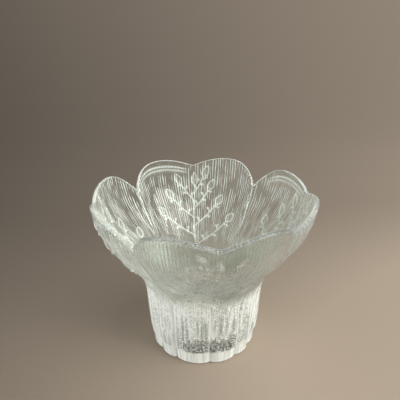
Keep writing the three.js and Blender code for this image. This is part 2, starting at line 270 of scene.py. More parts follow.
WICK_TURN_LENGTH = 4.2
WICK_LOWER_POINTS = 60
WICK_UPPER_POINTS = 24
STRAND_SHARE = 0.5
STRAND_SIDES = 10
SUSTAINER_RADIUS = 7.0
SUSTAINER_THICKNESS = 0.4
COLLAR_WALL = 0.7
COLLAR_HEIGHT = 4.0
CLEARANCE = 0.3

# Tealight, the colours and ranges of roughness of its materials
ALUMINIUM = (0.86, 0.86, 0.87)
ALUMINIUM_ROUGHNESS = (0.22, 0.4)
ALUMINIUM_LINES = 0.15
TINPLATE = (0.62, 0.62, 0.63)
TINPLATE_ROUGHNESS = (0.25, 0.45)
TINPLATE_LINES = 0.05
WAX_DARK = (0.76, 0.72, 0.64)
WAX_PALE = (0.84, 0.815, 0.75)
WAX_ROUGHNESS = (0.35, 0.5)
COTTON_DARK = (0.68, 0.63, 0.53)
COTTON_PALE = (0.88, 0.85, 0.77)
COTTON_ROUGHNESS = (0.6, 0.85)
NOISE_MIDDLE = (0.3, 0.7)  # where most values of a noise lie

# The stage, in metres
STAGE_FRONT = -1.6
STAGE_BACK = 0.6
STAGE_TOP = 2.0
STAGE_CURVE = 1.5
STAGE_CURVE_POINTS = 16
STAGE_HALF_WIDTH = 2.4
# Cloth colours from painted shade to painted light, and where the painted light falls off
CLOTH_SHADED = (0.12, 0.098, 0.076)
CLOTH_LIT = (0.42, 0.342, 0.265)
CLOTH_ROUGHNESS = 0.95
CLOTH_SPAN = (0.1, 0.36)
CLOTH_DEPTH = (-0.08, 0.24)  # from the front, where the cloth is painted pale as if lit, to the back
CLOTH_DEPTH_PAINTED_LIGHT = (0.315, 0.172)
CLOTH_ASIDE = (-0.6, 0.6)  # from the left to the right, as seen from the front
CLOTH_ASIDE_PAINTED_LIGHT = (0.38, 1.66)
CLOTH_VIEWPOINT = 0.45  # how far in front of the holder its painted shades fan out from
CLOTH_NEAREST = 0.3
CLOTH_ASIDE_START = (-0.6, -0.15)

# The light: lamps in metres and watts, and how bright the world is to its sides, front and top
WARM = (1.0, 0.98, 0.95)
COOL = (0.95, 0.98, 1.0)
LAMP_TARGET = (0.0, 0.0, 0.06)
LAMPS = {
    "key": {"place": (0.8, -0.35, 1.2), "size": (1.0, 1.1), "power": 9.0, "colour": WARM, "seen": True},
    "side": {"place": (0.8, -0.7, 0.9), "size": (0.5, 0.5), "power": 5.5, "colour": WARM, "seen": False},
    "strip": {"place": (0.9, -0.2, 1.1), "size": (0.08, 0.8), "power": 1.2, "colour": COOL, "seen": True},
}
SKY_COLOUR = (0.98, 0.99, 1.0)
SIDE_GLOW = (11.5, 6.5)  # left and right
SIDE_GLOW_FOCUS = 4
SIDE_GLOW_TOP = 0.35
FRONT_WAY = (0.0, -0.8, 0.6)
FRONT_SPAN = (0.1, 0.9)
FRONT_GLOW = 0.55
TOP_GLOW = (0.08, 0.12)
BACKGROUND_GLOW = 0.85
LIGHT_BOUNCES = 32
GLASS_BOUNCES = 24

# The photograph's camera, fitted to the petals' rim and the foot
PHOTO_SIDE = 400
FOCAL_PIXELS = 420.0
SENSOR_WIDTH = 36.0
CAMERA_PITCH = 22.5
CAMERA_TURN = 6.87
CAMERA_DISTANCE = 261.4
CAMERA_SIDE = -2.55
CAMERA_HEIGHT = 215.3
CLIP_START = 0.01


def smoothstep(value, low, high):
    share = np.clip((value - low) / (high - low), 0.0, 1.0)
    return share * share * (3.0 - 2.0 * share)


def fade_out(value, low, high):
    return 1 - smoothstep(value, low, high)


def bezier(points, t):
    """Points and unit tangents, as (radius, height), of the Bezier curve with these control points."""
    t = np.asarray(t, float)[..., None]
    points = np.asarray(points, float)
    degree = len(points) - 1
    place = sum(
        math.comb(degree, k) * t**k * (1 - t) ** (degree - k) * points[k] for k in range(degree + 1)
    )
    step = np.diff(points, axis=0) * degree
    slope = sum(
        math.comb(degree - 1, k) * t**k * (1 - t) ** (degree - 1 - k) * step[k] for k in range(degree)
    )
    return place, slope / np.linalg.norm(slope, axis=-1, keepdims=True)


def lengths_along(points):
    """Length of the line through the points, from its start to each of them."""
    return np.concatenate([[0], np.cumsum(np.linalg.norm(np.diff(points, axis=0), axis=1))])


# Curves of the outer side, as (radius, height) points
FOOT_RISE = FOOT_FULLNESS * (NECK_HEIGHT - BASE_EDGE)
FOOT_CURVE = (
    (BASE_RADIUS, BASE_EDGE),
    (NECK_RADIUS - NECK_SLOPE * FOOT_RISE, NECK_HEIGHT - FOOT_RISE),
    (NECK_RADIUS, NECK_HEIGHT),
)
RIM_LEAN = math.atan(RIM_SLOPE)
RIM_HEIGHT = HEIGHT - RIM_CROWN * math.cos(RIM_LEAN) - RIM_WALL * CROWN_TOP * math.sin(RIM_LEAN)
BOWL_HEIGHT = RIM_HEIGHT - NECK_HEIGHT
BOWL_CURVE = (
    (NECK_RADIUS, NECK_HEIGHT),
    (NECK_RADIUS + NECK_SLOPE * NECK_FULLNESS * BOWL_HEIGHT, NECK_HEIGHT + NECK_FULLNESS * BOWL_HEIGHT),
    (RIM_RADIUS - RIM_SLOPE * RIM_FULLNESS * BOWL_HEIGHT, RIM_HEIGHT - RIM_FULLNESS * BOWL_HEIGHT),
    (RIM_RADIUS, RIM_HEIGHT),
)
BOWL_SAMPLES = np.linspace(0, 1, CURVE_SAMPLES)
BOWL_POINTS = bezier(BOWL_CURVE, BOWL_SAMPLES)[0]
BOWL_LENGTHS = lengths_along(BOWL_POINTS)

# Share of the way from the neck to the rim of each row up the outer side
ROW_SHARES = np.concatenate([np.zeros(FOOT_ROWS), np.linspace(0, 1, BOWL_ROWS + 1)])[:, None]


def petal_place(angle):
    """Distance from the nearest petal's centre line, from -1 and 1 at its gaps to 0 on the line."""
    turn = 2 * math.pi / PETALS
    return ((angle + turn / 2) % turn - turn / 2) / (turn / 2)


def rim_drop(place):
    """How far the rim lies below the top of the lobes."""
    place = np.abs(place)
    notch = NOTCH_DEPTH * (1 - np.sin(math.pi / 2 * np.clip(place / LOBE_PLACE, 0, 1)))
    gap = GAP_DEPTH * np.clip((place - LOBE_PLACE) / (1 - LOBE_PLACE), 0, None) ** GAP_SHARPNESS
    return notch + gap


def crease(place, bowl_place):
    """How far the glass is drawn in between two petals."""
    nearness = np.clip(1 - (1 - np.abs(place)) / CREASE_WIDTH, 0, None)
    return CREASE_DEPTH * nearness**2 * smoothstep(bowl_place, CREASE_START, CREASE_FULL)


def flute_place(angle):
    """Place across the foot's flutes, from -1 and 1 in the valleys to 0 on the crests."""
    turn = 2 * math.pi / PETALS
    share = (angle % turn) / turn * sum(FLUTE_SHARES)
    place = np.zeros_like(angle)
    start = 0
    for width in FLUTE_SHARES:
        across = 2 * (share - start) / width - 1
        place = np.where(np.abs(across) <= 1, across, place)
        start += width
    return place


def flute(angle):
    """How far the foot is drawn in between the crests of two flutes."""
    return FLUTE_DEPTH * (1 - np.sqrt(1 - flute_place(angle) ** 2))


def ring_noise(rng, angle, height, cells, length):
    """Smooth noise from 0 to 1 that closes round the axis, with cells around it and one each length up."""
    rows = int(HEIGHT * NOISE_REACH / length) + NOISE_SPARE_ROWS
    lattice = rng.random((rows, cells))
    across = angle / (2 * math.pi) * cells
    up = height / length
    column, row = np.floor(across).astype(int), np.floor(up).astype(int)
    fx, fy = across - column, up - row
    fx, fy = fx * fx * (3 - 2 * fx), fy * fy * (3 - 2 * fy)
    left, right = column % cells, (column + 1) % cells
    low = lattice[row, left] * (1 - fx) + lattice[row, right] * fx
    high = lattice[row + 1, left] * (1 - fx) + lattice[row + 1, right] * fx
    return low * (1 - fy) + high * fy


def ring_wave(rng, angle, cells):
    """Smooth noise from 0 to 1 round one ring."""
    return ring_noise(rng, angle, np.zeros(len(angle)), cells, 1.0)


def ribs(rng, angle, height, count, length):
    """Irregular upright ridges, from 0 in the grooves to 1 on the crests."""
    coarse = 1 - np.abs(2 * ring_noise(rng, angle, height, count, length) - 1)
    fine = 1 - np.abs(2 * ring_noise(rng, angle, height, count * 2, length / 2) - 1)
    return FOOT_RIB_COARSENESS * coarse + (1 - FOOT_RIB_COARSENESS) * fine


def pleats(rng, angle, height, count, length):
    """Fine even ridges that waver and fade on their way up, from 0 to 1."""
    waver = ring_noise(rng, angle, height, count // 2, length) - 0.5
    fade = ring_noise(rng, angle, height, count // 2, length)
    swing = PETAL_RIB_LEAST + PETAL_RIB_SWELL * fade
    return 0.5 + swing * np.cos(count * angle + PETAL_RIB_WAVER * waver)


def stem(up):
    up = np.asarray(up, float)
    return np.stack([STEM_SWAY * np.sin(up / STEM_SWAY_STEP), up], -1)


def twig(index):
    """Points of a twig, which bends evenly from its lean at the stem towards upright, and its last lean."""
    side = 1 if index % 2 else -1
    lean = side * math.radians(TWIG_LEAN - TWIG_STRAIGHTENING * index)
    turn = lean * (1 - TWIG_CURL * np.linspace(0, 1, TWIG_POINTS))
    bend_radius = (TWIG_LENGTH - TWIG_SHORTENING * index) / (TWIG_CURL * lean)
    bend = np.stack([np.cos(turn) - math.cos(lean), math.sin(lean) - np.sin(turn)], -1)
    return stem(FIRST_TWIG + TWIG_SPACING * index) + bend_radius * bend, turn[-1]


def branch():
    """A branch for one petal: its lines, its leaves as (foot, lean), and the beads beside its twigs."""
    trunk = stem(STEM_START + STEM_LENGTH * np.linspace(0, 1, STEM_POINTS))
    lines, leaves, beads = [trunk], [(trunk[-1], 0.0)], []
    for index in range(TWIGS):
        line, lean = twig(index)
        lines.append(line)
        leaves.append((line[-1], lean))
        beads.append(line[0])
        for joint, turn in BEAD_PLACES:
            way = lean + math.copysign(turn, turn * lean)
            bead = line[joint] + BEAD_STALK * np.array([math.sin(way), math.cos(way)])
            lines.append(np.array([line[joint], bead]))
            beads.append(bead)
    return lines, leaves, beads


def distance_to_line(line, across, up):
    """Distance of each point to the nearest stretch of a line."""
    nearest = np.full(across.shape, np.inf)
    for (ax, ay), (bx, by) in zip(line, line[1:]):
        dx, dy = bx - ax, by - ay
        share = np.clip(((across - ax) * dx + (up - ay) * dy) / (dx * dx + dy * dy), 0, 1)
        nearest = np.minimum(nearest, np.hypot(across - ax - share * dx, up - ay - share * dy))
    return nearest


def leaf_form(foot, lean, across, up):
    """Height of a leaf at each point, and the point's distance to its outline."""
    x, y = foot
    along = ((across - x) * math.sin(lean) + (up - y) * math.cos(lean)) / LEAF_LENGTH
    beside = np.abs((across - x) * math.cos(lean) - (up - y) * math.sin(lean))
    fullness = np.sin(math.pi * np.clip(along, 0, 1) ** LEAF_FULLNESS)
    half = LEAF_WIDTH / 2 * fullness
    dome = np.clip(1 - (beside / np.maximum(half, 1e-6)) ** 2, 0, 1)
    edge = np.where((along > 0) & (along < 1), np.abs(beside - half), np.inf)
    return LEAF_HEIGHT * fullness * np.sqrt(dome), edge


def branch_relief(across, up):
    """The branch's height above the petal's outer side in mm, and how white its painted glints are."""
    lines, leaves, beads = branch()
    nearest = np.full(across.shape, np.inf)
    for line in lines:
        nearest = np.minimum(nearest, distance_to_line(line, across, up))
    swell = np.zeros(across.shape)
    for foot, lean in leaves:
        leaf, edge = leaf_form(foot, lean, across, up)
        swell = np.maximum(swell, leaf)
        nearest = np.minimum(nearest, edge)
    stalk = fade_out(nearest, STALK_FLAT * STALK_RADIUS, STALK_RADIUS)
    # painted highlight: the stalks, beads and leaves are whitened where their flanks would glint
    painted_glint_line = fade_out(nearest, STALK_GLINT_SHARE * STALK_RADIUS, STALK_RADIUS)
    height = np.maximum(STALK_RADIUS * stalk, swell)
    white = np.maximum(SPRIG_PAINTED_GLINT * painted_glint_line, LEAF_PAINTED_GLINT * (swell > 0))
    white *= smoothstep(up, *BRANCH_FADE)
    for x, y in beads:
        bead = np.sqrt(np.clip(1 - (np.hypot(across - x, up - y) / BEAD_RADIUS) ** 2, 0, 1))
        height = np.maximum(height, BEAD_HEIGHT * bead)
        white = np.maximum(white, SPRIG_PAINTED_GLINT * bead)
    return height, white


def all_branches(place, bowl_radius, bowl_way):
    """The branches' height and painted glints on every petal, as grids over the whole outer side."""
    across = bowl_radius * place * math.pi / PETALS
    columns = across.shape[1]
    half = columns // PETALS // 2
    one_petal = np.arange(-half, half) % columns
    bare_foot = np.zeros((FOOT_ROWS, columns))
    grids = []
    for grid in branch_relief(across[:, one_petal], bowl_way[:, one_petal]):
        petals = np.roll(np.tile(grid, (1, PETALS)), -half, axis=1)
        grids.append(np.concatenate([bare_foot, petals]))
    return grids


def around(radius, height, angle):
    """A ring of points in metres. Angle 0 is the front petal's centre line, and turns towards +X."""
    radius, height = np.broadcast_arrays(radius, height)
    x, y = radius * np.sin(angle), -radius * np.cos(angle)
    return np.stack([x, y, height * np.ones_like(angle)], -1) * MM


def inner_wall(bowl_place, place):
    """Radius and height of the bowl's smooth inner side."""
    point, along = bezier(BOWL_CURVE, bowl_place)
    wall = NECK_WALL + (RIM_WALL - NECK_WALL) * bowl_place
    radius = point[..., 0] - along[..., 1] * wall - crease(place, bowl_place)
    return radius, point[..., 1] + along[..., 0] * wall


def wall_zones(angle, up):
    """The outer side's ribs, patches and finishes as grids from 0 to 1, and its ledge's height in mm."""
    rng = np.random.default_rng(SEED)
    grid_angle = np.broadcast_to(angle, up.shape)
    place = petal_place(angle)
    zones = SimpleNamespace()
    zones.foot_ribs = ribs(rng, grid_angle, up, FOOT_RIBS, FOOT_RIB_LENGTH)
    zones.petal_ribs = pleats(rng, grid_angle, up, PETAL_RIBS, PETAL_RIB_LENGTH)
    zones.ledge = BASE_BAND + LEDGE_WAVE * (ring_wave(rng, angle, LEDGE_CELLS) - 0.5)
    zones.patches = ring_noise(rng, grid_angle, up, PATCH_CELLS, PATCH_LENGTH)
    zones.on_foot = fade_out(up, *FOOT_FADE)
    zones.above_ledge = smoothstep(up, zones.ledge - LEDGE_STEP, zones.ledge + LEDGE_STEP)
    zones.satin = smoothstep(np.cos(angle), *SATIN_SPAN) * smoothstep(up, *SATIN_START)
    zones.lined_lobe = smoothstep(place, *LINED_LOBE_START) * fade_out(place, *LINED_LOBE_END)
    return zones


def wall_relief(zones, sprig):
    """How far the outer side stands out from the smooth wall, in mm."""
    petal_relief = PETAL_RIB_HEIGHT * (1 - zones.on_foot) * (zones.petal_ribs - 0.5)
    relief = FOOT_RIB_HEIGHT * zones.on_foot * (zones.foot_ribs - 0.5)
    relief += petal_relief * (1 - SATIN_SMOOTHING * zones.satin)
    relief += sprig * (1 - SATIN_FLATTENING * zones.satin)
    relief *= fade_out(ROW_SHARES, *RIM_BAND)
    relief *= BASE_RELIEF + (1 - BASE_RELIEF) * zones.above_ledge
    return relief + BASE_LEDGE * (zones.above_ledge - 1)


def wall_frost(angle, up, zones):
    """How white the outer side is, apart from its lines, with painted light on the foot's sides and painted
    shade on the front petal and at the back of the neck.
    """
    neck = smoothstep(up, *NECK_CLEAR_FROM) * fade_out(up, *NECK_CLEAR_TO)
    at_back = smoothstep(-np.cos(angle), *BACK_SPAN)
    near_rim = zones.lined_lobe * smoothstep(ROW_SHARES, *RIM_CLEAR_SPAN)
    frost = np.interp(up, *zip(*FROST))
    frost *= 1 + zones.above_ledge * (
        zones.on_foot * zones.foot_ribs + (1 - zones.on_foot) * zones.petal_ribs - 0.5
    )
    # painted shade: the front petal is made less white
    frost *= 1 - SATIN_PAINTED_SHADE * zones.satin
    # painted light: the foot's left and right sides are made whiter
    frost *= 1 + SIDE_PAINTED_LIGHT * zones.on_foot * zones.above_ledge * np.sin(angle) ** 2
    frost *= 1 - RIM_CLEARING * near_rim
    # painted shade: the back of the neck is made less white
    frost *= 1 - NECK_PAINTED_SHADE * neck * at_back
    return frost


def wall_lines(angle, up, zones, fluted):
    """How white the painted glints are in the flutes' valleys, on the ledge above the base band and in the
    lines inside the rim.
    """
    # painted highlights: white lines where the flutes, the ledge and the rim's thickness would glint
    valley_glint = smoothstep(np.abs(flute_place(angle)), *VALLEY_SPAN) * fluted * zones.above_ledge
    valley_glint = valley_glint * smoothstep(zones.patches, *VALLEY_PATCHES)
    from_ledge = np.abs(up - zones.ledge - LEDGE_LINE_RISE)
    ledge_glint = fade_out(from_ledge, *LEDGE_LINE_WIDTH) * smoothstep(zones.patches, *LEDGE_PATCHES)
    rim_glint = sum(fade_out(np.abs(ROW_SHARES - place), *RIM_LINE_WIDTH) for place in RIM_LINE_PLACES)
    rim_glint = rim_glint * zones.lined_lobe * (1 - zones.satin)
    return np.maximum.reduce([VALLEY_PAINTED_GLINT * valley_glint, LEDGE_PAINTED_GLINT * ledge_glint, RIM_PAINTED_GLINT * rim_glint])


def wall_surface(angle, up, zones, fluted, sprig_glint):
    """Texture, frost, grain and painted glints of the outer side, as one grid."""
    texture = np.interp(up, *zip(*TEXTURE))
    frost = wall_frost(angle, up, zones)
    grain = np.interp(up, *zip(*GRAIN))
    low_down = fade_out(up, *STIPPLE_TOP)
    at_ends = smoothstep(np.cos(2 * angle), *STIPPLE_SPAN)
    # painted shade: low on the foot's front and back, the glass is made less white
    frost *= 1 - STIPPLE_PAINTED_SHADE * low_down * zones.above_ledge * at_ends
    grain *= 1 - low_down * (1 - at_ends)
    grain = np.maximum(grain, SATIN_GRAIN * zones.satin)
    # painted shade: the front petal's glints are dimmer too
    sprig_glint = sprig_glint * (1 - SATIN_SMOOTHING * zones.satin)
    white = np.maximum(sprig_glint, wall_lines(angle, up, zones, fluted))
    return np.stack([texture, frost, grain, white], -1)


def outer_wall(angle, rim_place):
    """Grid of (radius, height) points up the outer side, its directions along the wall and its surface."""
    def with_foot(foot_rows, bowl_grid):
        return np.concatenate([np.repeat(foot_rows[:, None], len(angle), 1), bowl_grid])

    place = petal_place(angle)
    bowl_place = ROW_SHARES * rim_place
    bowl_way = np.interp(bowl_place[FOOT_ROWS:], BOWL_SAMPLES, BOWL_LENGTHS)
    foot, foot_along = bezier(FOOT_CURVE, FOOT_PLACES)
    bowl, bowl_along = bezier(BOWL_CURVE, bowl_place[FOOT_ROWS:])
    wall = with_foot(foot, bowl)
    along = with_foot(foot_along, bowl_along)
    up = with_foot(foot[:, 1], NECK_HEIGHT + bowl_way)

    zones = wall_zones(angle, up)
    sprig, sprig_glint = all_branches(place, bowl[..., 0], bowl_way)
    fluted = fade_out(bowl_place, 0, FLUTE_FADE)
    relief = wall_relief(zones, sprig)
    wall[..., 0] += along[..., 1] * relief - flute(angle) * fluted
    wall[..., 1] -= along[..., 0] * relief
    wall[..., 0] -= crease(place, bowl_place)
    return wall, along, wall_surface(angle, up, zones, fluted, sprig_glint)


def underside_rings(coarse, fine):
    """Rings of points with their surface, from the recess under the foot round its lower edge."""
    rings = [
        (around(STAND_RING_RADIUS - RECESS_DEPTH, RECESS_DEPTH, coarse), UNDERSIDE_SURFACE),
        (around(STAND_RING_RADIUS, 0.0, coarse), UNDERSIDE_SURFACE),
    ]
    base_surface = TEXTURE[0][1], FROST[0][1], GRAIN[0][1], 0.0
    for turn in np.arange(EDGE_ROWS) / EDGE_ROWS * math.pi / 2:
        radius = BASE_RADIUS - flute(fine) - BASE_EDGE * (1 - math.sin(turn))
        rings.append((around(radius, BASE_EDGE * (1 - math.cos(turn)), fine), base_surface))
    return rings


def crown_rise(share):
    """Height of the rim's edge, a long round from the outer side and a tight one to the inner side."""
    if share < CROWN_TOP:
        away = (CROWN_TOP - share) / CROWN_TOP
    else:
        away = (share - CROWN_TOP) / (1 - CROWN_TOP)
    return RIM_CROWN * math.sqrt(1 - away**2)


def crown_rings(fine, outside, along, inside):
    """Rings over the rim's rounded edge, with a painted highlight line on its top."""
    # painted highlight along the rim's top, where its rounded edge would catch the light
    painted_glint_line = np.zeros((len(fine), len(SURFACE)))
    painted_glint_line[:, -1] = CROWN_PAINTED_HIGHLIGHT * (0.5 + ring_wave(np.random.default_rng(SEED), fine, CROWN_HIGHLIGHT_CELLS))
    line_start, line_end = CROWN_HIGHLIGHT_SPAN
    rings = []
    for share in CROWN_SHARES:
        points = outside + (inside - outside) * share + along * crown_rise(share)
        if share < line_start:
            surface = CROWN_SURFACE
        elif share < line_end:
            surface = painted_glint_line
        else:
            surface = CLEAR_SURFACE
        rings.append((around(points[:, 0], points[:, 1], fine), surface))
    return rings


def inner_rings(coarse, rim_place, place):
    """Rings down the smooth inner side from the rim to the well's floor."""
    profile = [inner_wall(rim_place * share, place) for share in np.linspace(1, 0, INNER_ROWS + 1)]
    neck_radius, neck_height = (float(value) for value in inner_wall(np.zeros(()), np.zeros(())))
    well_foot = FLOOR_THICKNESS + WELL_FILLET
    for share in np.arange(1, WELL_ROWS + 1) / WELL_ROWS:
        radius = neck_radius + (WELL_RADIUS - neck_radius) * share
        profile.append((radius, neck_height + (well_foot - neck_height) * share))
    for turn in np.arange(1, FILLET_ROWS + 1) / FILLET_ROWS * math.pi / 2:
        radius = WELL_RADIUS - WELL_FILLET * (1 - math.cos(turn))
        profile.append((radius, FLOOR_THICKNESS + WELL_FILLET * (1 - math.sin(turn))))
    return [(around(radius, height, coarse), CLEAR_SURFACE) for radius, height in profile]


def glass_rings():
    """Rings of points with their surface, from the underside's edge over the rim to the well's floor."""
    fine = np.arange(FINE_COLUMNS) * 2 * math.pi / FINE_COLUMNS
    coarse = fine[::COARSE_STEP]
    place = petal_place(fine)
    rim_place = np.interp(RIM_HEIGHT - rim_drop(place), BOWL_POINTS[:, 1], BOWL_SAMPLES)
    wall, along, surface = outer_wall(fine, rim_place)
    rings = underside_rings(coarse, fine)
    for row, row_surface in zip(wall, surface):
        rings.append((around(row[:, 0], row[:, 1], fine), row_surface))
    rings += crown_rings(fine, wall[-1], along[-1], np.stack(inner_wall(rim_place, place), -1))
    return rings + inner_rings(coarse, rim_place[::COARSE_STEP], place[::COARSE_STEP])


def skin(rings, start=None, end=None, closed=False):
    """Vertices and faces of a skin over rings of points, closed by centre points or on its first ring."""
    counts = [len(ring) for ring in rings]
    starts = np.concatenate([[0], np.cumsum(counts)]).tolist()
    vertices = np.concatenate(rings)
    faces = []
    for k in range(len(rings) if closed else len(rings) - 1):
        after = (k + 1) % len(rings)
        a, b, n, m = starts[k], starts[after], counts[k], counts[after]
        few = min(n, m)
        step_a, step_b = n // few, m // few
        for i in range(few):
            low = [a + (i * step_a + j) % n for j in range(step_a + 1)]
            high = [b + (i * step_b + j) % m for j in range(step_b + 1)]
            faces.append(low + high[::-1])
    for centre, ring, flip in ((start, 0, True), (end, len(rings) - 1, False)):
        if centre is None:
            continue
        tip = len(vertices)
        vertices = np.vstack([vertices, [centre]])
        a, n = starts[ring], counts[ring]
        for i in range(n):
            pair = [a + i, a + (i + 1) % n]
            faces.append([tip] + (pair[::-1] if flip else pair))
    return vertices, faces


def piece(name, vertices, faces, body, node, material):
    """A smooth mesh object that stands for one CAD node."""
    mesh = bpy.data.meshes.new(name)
    mesh.from_pydata(vertices.tolist(), [], faces)
    mesh.polygons.foreach_set("use_smooth", np.ones(len(mesh.polygons), bool))
    mesh.materials.append(material)
    mesh.validate()
    obj = bpy.data.objects.new(name, mesh)
    bpy.context.scene.collection.objects.link(obj)
    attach(obj, body)
    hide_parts(node)
    return obj


def new_material(name):
    material = bpy.data.materials.new(name)
    material.use_nodes = True
    return material, material.node_tree, material.node_tree.nodes["Principled BSDF"]


def feed(tree, node, inputs):
    """Give a node its inputs, each a value or another node's output."""
    for key, value in inputs.items():
        if isinstance(value, bpy.types.NodeSocket):
            tree.links.new(value, node.inputs[key])
        else:
            node.inputs[key].default_value = value


def add_node(tree, kind, settings, inputs):
    """A shader node with these settings and inputs."""
    node = tree.nodes.new("ShaderNode" + kind)
    for key, value in settings.items():
        setattr(node, key, value)
    feed(tree, node, inputs)
    return node


def math_node(tree, operation, first, second=0.0):
    return add_node(tree, "Math", {"operation": operation}, {0: first, 1: second}).outputs[0]


def vector_node(tree, operation, first, second=None):
    inputs = {0: first} if second is None else {0: first, 1: second}
    return add_node(tree, "VectorMath", {"operation": operation}, inputs).outputs[0]


def split_node(tree, vector):
    return add_node(tree, "SeparateXYZ", {}, {0: vector}).outputs


def noise_node(tree, vector, scale=1.0, detail=2.0, roughness=0.5):
    inputs = {"Vector": vector, "Scale": scale, "Detail": detail, "Roughness": roughness}
    return add_node(tree, "TexNoise", {}, inputs).outputs[0]


def map_node(tree, value, from_range, to_range=(0, 1), kind="LINEAR"):
    inputs = {"Value": value}
    inputs.update(zip(("From Min", "From Max", "To Min", "To Max"), (*from_range, *to_range)))
    return add_node(tree, "MapRange", {"interpolation_type": kind}, inputs).outputs[0]


def mix_node(tree, share, first, second):
    """A blend of two numbers."""
    node = add_node(tree, "Mix", {"data_type": "FLOAT"}, {0: share, 2: first, 3: second})
    return node.outputs[0]


def ramp_node(tree, value, dark, pale, span=(0, 1)):
    """A colour that goes from dark to pale over a span of values."""
    node = add_node(tree, "ValToRGB", {}, {0: value})
    for element, colour, position in zip(node.color_ramp.elements, (dark, pale), span):
        element.color = (*colour, 1)
        element.position = position
    return node.outputs[0]


def bump_node(tree, height, distance, strength):
    inputs = {"Height": height, "Distance": distance * MM, "Strength": strength}
    return add_node(tree, "Bump", {}, inputs).outputs[0]


def object_place(tree):
    return add_node(tree, "TexCoord", {}, {}).outputs["Object"]


def upright_place(tree, cells, length):
    """Coordinates for upright streaks of noise: so many round the axis, each so long in mm."""
    place = object_place(tree)
    outward = vector_node(tree, "NORMALIZE", vector_node(tree, "MULTIPLY", place, (1, 1, 0)))
    reach = cells / (2 * math.pi)
    around_axis = vector_node(tree, "MULTIPLY", outward, (reach, reach, 0))
    upward = vector_node(tree, "MULTIPLY", place, (0, 0, 1 / (length * MM)))
    return vector_node(tree, "ADD", around_axis, upward)


def rib_node(tree, count, length, waver):
    """Fine even ribs round the axis, from 0 to 1, that waver on their way up."""
    x, y, _ = split_node(tree, object_place(tree))
    turn = math_node(tree, "MULTIPLY", math_node(tree, "ARCTAN2", y, x), count)
    drift = noise_node(tree, upright_place(tree, count / 2, length), detail=1.0)
    phase = math_node(tree, "ADD", turn, math_node(tree, "MULTIPLY", drift, waver))
    return map_node(tree, math_node(tree, "SINE", phase), (-1, 1))


def glass_patterns(tree):
    """The glass's procedural patterns and the surface attributes of its mesh, by name."""
    patterns = SimpleNamespace()
    for name in SURFACE:
        attribute = add_node(tree, "Attribute", {"attribute_name": name}, {})
        setattr(patterns, name, attribute.outputs["Fac"])
    _, _, up = split_node(tree, object_place(tree))
    patterns.on_petals = map_node(tree, up, [height * MM for height in PETAL_FINISH])
    streak_place = upright_place(tree, STREAKS, STREAK_LENGTH)
    patch_place = upright_place(tree, FINE_RIB_PATCHES, FINE_RIB_PATCH_LENGTH)
    patterns.streaks = noise_node(tree, streak_place, detail=4.0, roughness=0.6)
    patterns.ribs = rib_node(tree, FINE_RIBS, FINE_RIB_LENGTH, FINE_RIB_WAVER)
    patterns.rib_patches = noise_node(tree, patch_place)
    patterns.grains = noise_node(tree, object_place(tree), GRAIN_SCALE, roughness=0.6)
    patterns.waves = noise_node(tree, object_place(tree), WAVE_SCALE, detail=1.0)
    return patterns


def glass_height(tree, patterns):
    """The glass's fine relief: streaks on the foot, ribs on the petals, grains, and waves where clear."""
    raised_ribs = math_node(tree, "MULTIPLY", patterns.ribs, FINE_RIB_HEIGHT)
    upright = mix_node(tree, patterns.on_petals, patterns.streaks, raised_ribs)
    kept = map_node(tree, patterns.grain, (0, 1), (1, GRAIN_SMOOTHING))
    upright = math_node(tree, "MULTIPLY", upright, kept)
    grains = math_node(tree, "MULTIPLY", patterns.grains, patterns.grain)
    return mix_node(tree, patterns.texture, patterns.waves, math_node(tree, "ADD", upright, grains))


def glass_whiteness(tree, patterns):
    """How white the glass is: its frost spread over streaks, ribs and grains, and its painted glints."""
    streaky = map_node(tree, patterns.streaks, STREAK_NOISE, STREAK_WHITE)
    thin_ribs = math_node(tree, "POWER", patterns.ribs, FINE_RIB_THINNESS)
    ribbed = map_node(tree, patterns.rib_patches, FINE_RIB_NOISE, FINE_RIB_WHITE)
    ribbed = math_node(tree, "MULTIPLY", thin_ribs, ribbed)
    grainy = map_node(tree, patterns.grains, GRAIN_NOISE, GRAIN_WHITE)
    even = map_node(tree, patterns.streaks, BASE_NOISE, BASE_WHITE)
    spread = mix_node(tree, patterns.grain, mix_node(tree, patterns.on_petals, streaky, ribbed), grainy)
    spread = mix_node(tree, patterns.texture, even, spread)
    return math_node(tree, "ADD", math_node(tree, "MULTIPLY", patterns.frost, spread), patterns.white)


def glass_material():
    """Clear glass, finely ribbed, whitened and given painted glints where its attributes say so, that lets
    lamps through.
    """
    material, tree, shader = new_material("clear_glass")
    patterns = glass_patterns(tree)
    clearness = map_node(tree, glass_whiteness(tree, patterns), (0, 1), (1, 0))
    petal_rough = map_node(tree, patterns.grain, (0, 1), PETAL_ROUGHNESS)
    rough = mix_node(tree, patterns.on_petals, FOOT_ROUGHNESS, petal_rough)
    rough = mix_node(tree, patterns.texture, CLEAR_ROUGHNESS, rough)
    bump = bump_node(tree, glass_height(tree, patterns), GLASS_BUMP, strength=0.6)
    feed(tree, shader, {
        "Base Color": (*GLASS_TINT, 1),
        "IOR": GLASS_IOR,
        "Transmission Weight": clearness,
        "Roughness": rough,
        "Normal": bump,
    })

    finished = math_node(tree, "MAXIMUM", patterns.texture, patterns.frost)
    shade = mix_node(tree, patterns.on_petals, FOOT_SHADE, PETAL_SHADE)
    shade = mix_node(tree, finished, CLEAR_SHADE, shade)
    clear = add_node(tree, "BsdfTransparent", {}, {"Color": shade})
    shadow_ray = add_node(tree, "LightPath", {}, {}).outputs["Is Shadow Ray"]
    mix = add_node(tree, "MixShader", {}, {0: shadow_ray, 1: shader.outputs[0], 2: clear.outputs[0]})
    feed(tree, tree.nodes["Material Output"], {"Surface": mix.outputs[0]})
    return material


